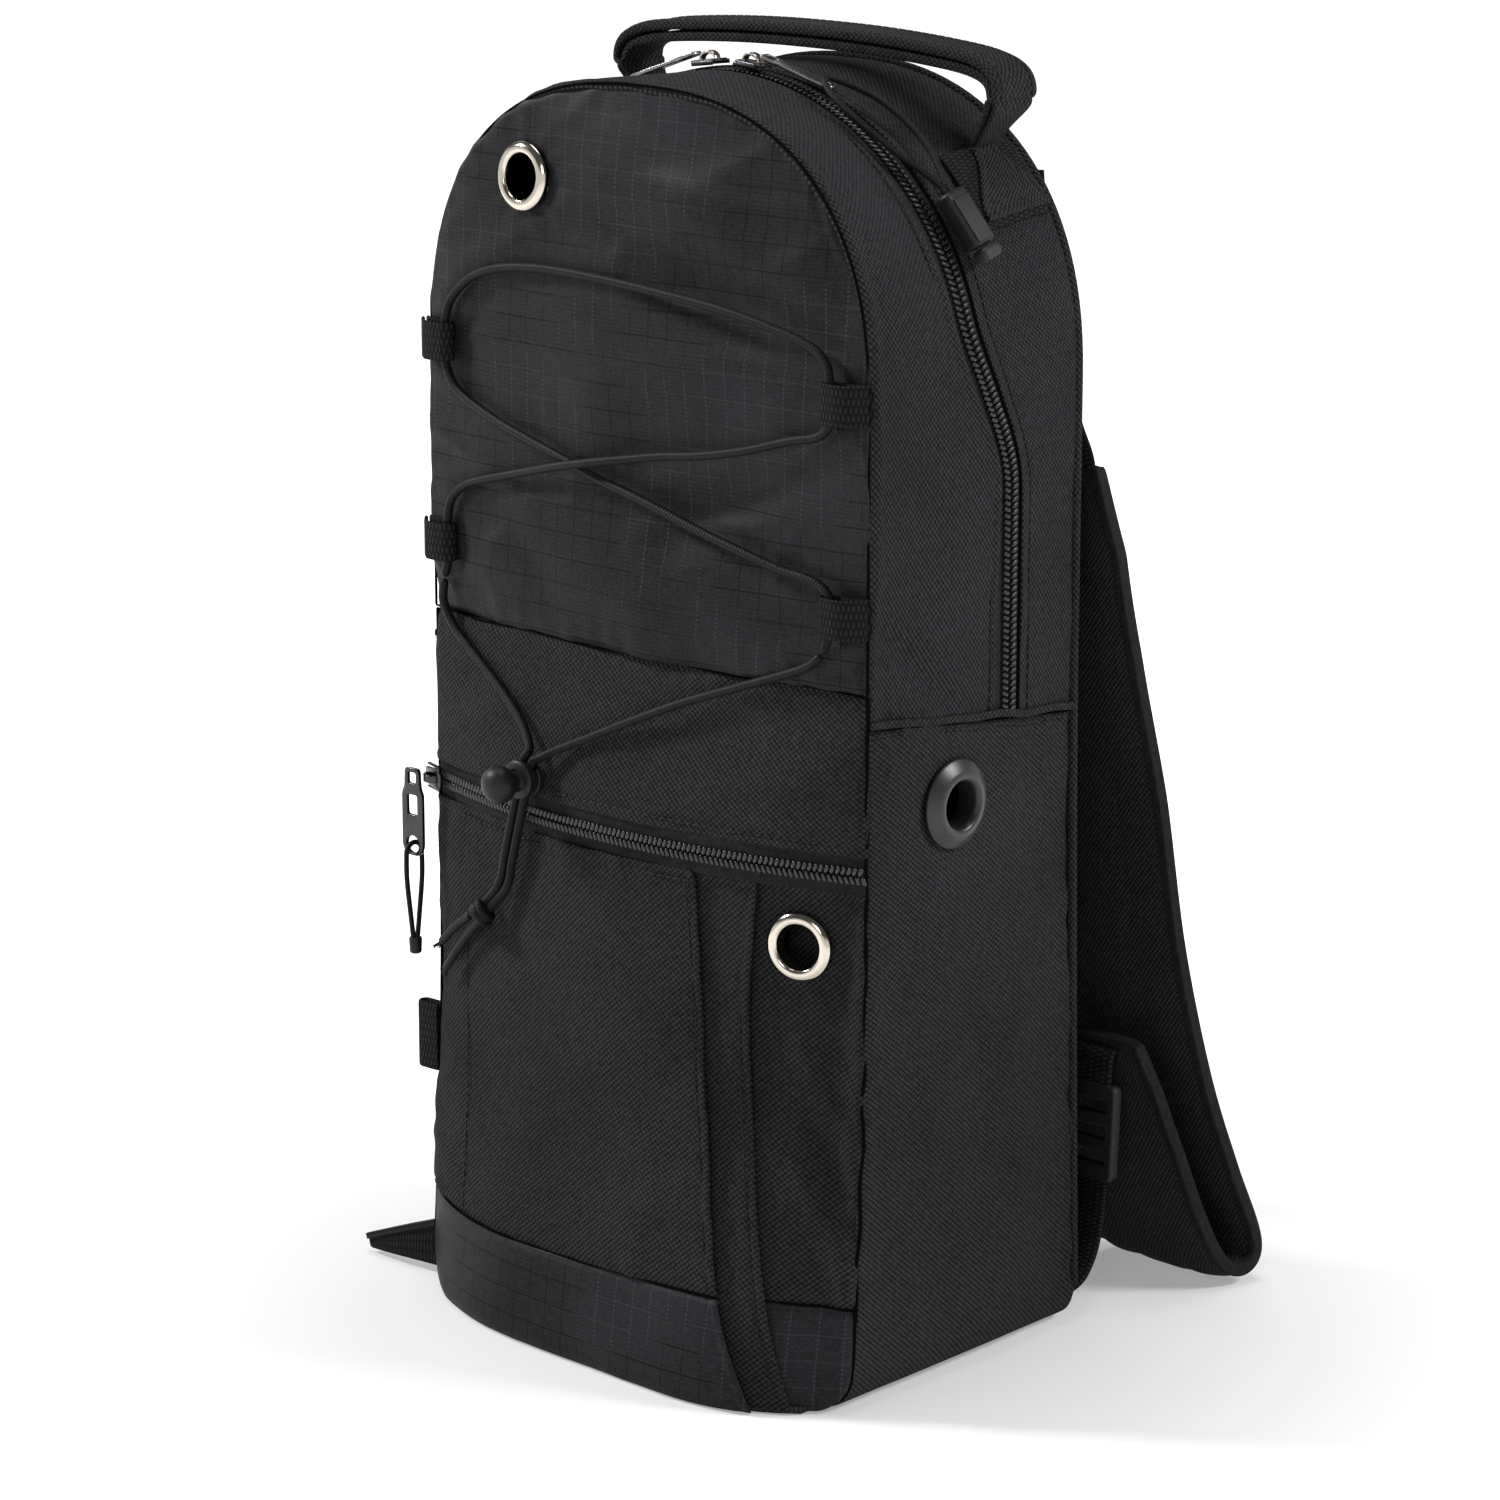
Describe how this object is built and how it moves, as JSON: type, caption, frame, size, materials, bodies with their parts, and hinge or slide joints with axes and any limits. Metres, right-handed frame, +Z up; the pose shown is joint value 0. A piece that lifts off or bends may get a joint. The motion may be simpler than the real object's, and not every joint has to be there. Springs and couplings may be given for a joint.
{
  "type": "oxygen cylinder backpack",
  "caption": "Soft upright backpack for a portable oxygen cylinder, with an arched zip lid, elastic lacing, a front pocket, eyelets for the tube and padded shoulder straps.",
  "frame": {"origin": "on the floor, at the centre of the base between the side seams, in the plane of the zipper's middle", "axes": "+Z up, -Y towards the lid and front pocket, +Y towards the straps, +X to the right seen from the front"},
  "size_m": [0.2526, 0.2251, 0.4364],
  "materials": {
    "ripstop": "black ripstop nylon with a fine grid",
    "twill": "black polyester twill, matt",
    "webbing": "black woven webbing",
    "padding": "black padded mesh and binding",
    "board": "stiff black board",
    "nickel": "polished nickel",
    "dark_metal": "black nickel",
    "rubber": "semi-gloss dark grey rubber",
    "plastic": "black moulded plastic",
    "grey_plastic": "dark grey moulded plastic",
    "lace": "black braided elastic",
    "zip_coil": "black nylon coil zipper"
  },
  "bodies": {
    "bag": {"back_panel": "twill", "base_panel": "twill", "base_board": "board", "pocket_back_wall": "twill", "side_panel_right": "twill", "side_panel_left": "twill", "rear_gusset": "twill", "main_zip_rear_tape": "zip_coil", "front_band": "twill", "pocket_zip_lower_tape": "zip_coil", "pocket_zip_upper_tape": "zip_coil", "pocket_panel": "twill", "pocket_band": "ripstop", "pocket_inner_flap": "twill", "pocket_side_panel": "twill", "pocket_side_band": "ripstop", "lower_eyelet": "nickel", "lower_eyelet_washer": "nickel", "tube_grommet": "rubber", "tube_grommet_ring": "rubber", "back_pad": "padding", "cylinder_strap": "webbing", "handle_end_right": "webbing", "handle_end_left": "webbing", "side_loop_left": "webbing", "side_wing_left": "webbing", "upper_webbing_right": "webbing", "upper_webbing_left": "webbing", "lower_webbing_right": "webbing", "lower_webbing_left": "webbing"},
    "lid": {"lid_front_panel": "ripstop", "lid_gusset": "twill", "main_zip_front_tape": "zip_coil", "upper_eyelet": "nickel", "upper_eyelet_washer": "nickel", "lace": "lace", "lace_loop_upper_right": "webbing", "lace_loop_lower_right": "webbing", "lace_loop_upper_left": "webbing", "lace_loop_lower_left": "webbing"},
    "lace_tail": {"lace_left_strand": "lace", "lace_right_strand": "lace", "lace_knot": "lace"},
    "cord_lock": {"cord_lock_body": "plastic"},
    "lock_button": {"cord_lock_button": "plastic"},
    "zip_slider_right": {"main_slider_right": "dark_metal"},
    "zip_slider_left": {"main_slider_left": "dark_metal"},
    "zip_pull_right": {"main_puller_right": "nickel", "zip_pull_cord": "lace", "zip_pull_end": "grey_plastic"},
    "zip_pull_left": {"main_puller_left": "dark_metal"},
    "pocket_zip_slider": {"pocket_slider": "dark_metal"},
    "pocket_zip_pull": {"pocket_puller": "dark_metal", "pocket_pull_cord": "lace", "pocket_pull_tip": "plastic"},
    "handle": {"haul_handle": "webbing"},
    "strap_right": {"shoulder_pad_right": "padding"},
    "strap_left": {"shoulder_pad_left": "padding"},
    "strap_lock_right": {"ladder_lock_right": "grey_plastic"},
    "strap_lock_left": {"ladder_lock_left": "grey_plastic"}
  },
  "joints": [
    {"name": "lid_open", "type": "hinge", "parent": "bag", "child": "lid", "pos_m": [0, -0.0625, 0.2285], "axis": [1, 0, 0], "range_deg": [0, 75]},
    {"name": "lace_tail_hang", "type": "hinge", "parent": "lid", "child": "lace_tail", "pos_m": [0, -0.0585, 0.2515], "axis": [1, 0, 0], "range_deg": [-75, 0]},
    {"name": "cord_lock_slide", "type": "slide", "parent": "lace_tail", "child": "cord_lock", "axis": [-0.2607, 0, -0.9654], "range_m": [0, 0.025]},
    {"name": "lock_button_press", "type": "slide", "parent": "cord_lock", "child": "lock_button", "axis": [0, 1, 0], "range_m": [0, 0.0028], "stiffness_N_per_m": 300},
    {"name": "zip_slider_right_travel", "type": "hinge", "parent": "bag", "child": "zip_slider_right", "pos_m": [0, -0.006, 0.3265], "axis": [0, 1, 0], "range_deg": [0, 25]},
    {"name": "zip_slider_left_travel", "type": "hinge", "parent": "bag", "child": "zip_slider_left", "pos_m": [0, -0.006, 0.3265], "axis": [0, 1, 0], "range_deg": [-50, 0]},
    {"name": "zip_pull_right_lift", "type": "hinge", "parent": "zip_slider_right", "child": "zip_pull_right", "pos_m": [0.01179, -0.006, 0.42842], "axis": [0, -1, 0], "range_deg": [0, 70]},
    {"name": "zip_pull_left_lift", "type": "hinge", "parent": "zip_slider_left", "child": "zip_pull_left", "pos_m": [-0.01923, -0.006, 0.42728], "axis": [0, 1, 0], "range_deg": [0, 110]},
    {"name": "pocket_slider_travel", "type": "hinge", "parent": "bag", "child": "pocket_zip_slider", "pos_m": [0, 0.202, 0.18], "axis": [0, 0, 1], "range_deg": [0, 38], "deforming": ["lace_left_strand", "lace_right_strand", "lace_knot"]},
    {"name": "pocket_pull_swing", "type": "hinge", "parent": "pocket_zip_slider", "child": "pocket_zip_pull", "pos_m": [-0.1015, -0.0606, 0.181], "axis": [-1, 0, 0], "range_deg": [0, 70]},
    {"name": "handle_tilt", "type": "hinge", "parent": "bag", "child": "handle", "pos_m": [0, 0.033, 0.4045], "axis": [1, 0, 0], "range_deg": [-18, 18]},
    {"name": "strap_right_swing", "type": "hinge", "parent": "bag", "child": "strap_right", "pos_m": [0.0735, 0.0559, 0.2335], "axis": [0.0472, 0.0168, -0.9987], "range_deg": [-12, 35]},
    {"name": "strap_left_swing", "type": "hinge", "parent": "bag", "child": "strap_left", "pos_m": [-0.0735, 0.0559, 0.2335], "axis": [0.0472, -0.0168, 0.9987], "range_deg": [-12, 35]},
    {"name": "strap_lock_right_tilt", "type": "hinge", "parent": "strap_right", "child": "strap_lock_right", "pos_m": [0.08, 0.081, 0.0775], "axis": [1, 0, 0], "range_deg": [-20, 12]},
    {"name": "strap_lock_left_tilt", "type": "hinge", "parent": "strap_left", "child": "strap_lock_left", "pos_m": [-0.08, 0.081, 0.0775], "axis": [1, 0, 0], "range_deg": [-20, 12]}
  ],
  "couplings": [
    {"joint": "lace_tail_hang", "follows": "lid_open", "ratio": -1}
  ]
}
